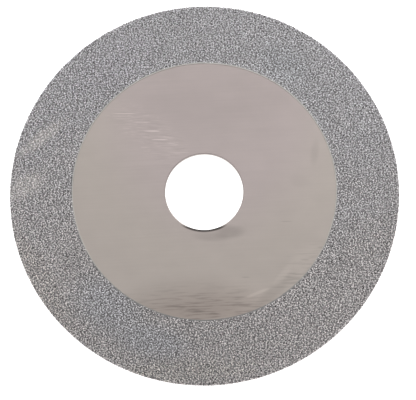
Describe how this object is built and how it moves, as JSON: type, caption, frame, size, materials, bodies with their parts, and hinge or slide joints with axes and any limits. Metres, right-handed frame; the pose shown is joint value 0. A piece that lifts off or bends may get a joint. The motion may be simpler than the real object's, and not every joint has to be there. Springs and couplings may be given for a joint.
{
  "type": "diamond grinding wheel",
  "caption": "Flat steel disc with a central arbor bore, bare middle, and a nickel-bonded diamond grit coating over the outer zone of both faces and the rim.",
  "frame": {"origin": "centre of the arbor bore, midway between the two faces", "axes": "+Z along the bore axis, out of the front face; the disc lies in X and Y"},
  "size_m": [0.1, 0.1, 0.0014],
  "materials": {
    "steel": "satin",
    "nickel": "satin",
    "diamond_grit": "matte"
  },
  "bodies": {
    "root": {"steel_core": "steel", "nickel_bond": "nickel", "grit_front": "diamond_grit", "grit_rim": "diamond_grit", "grit_back": "diamond_grit"}
  },
  "joints": []
}
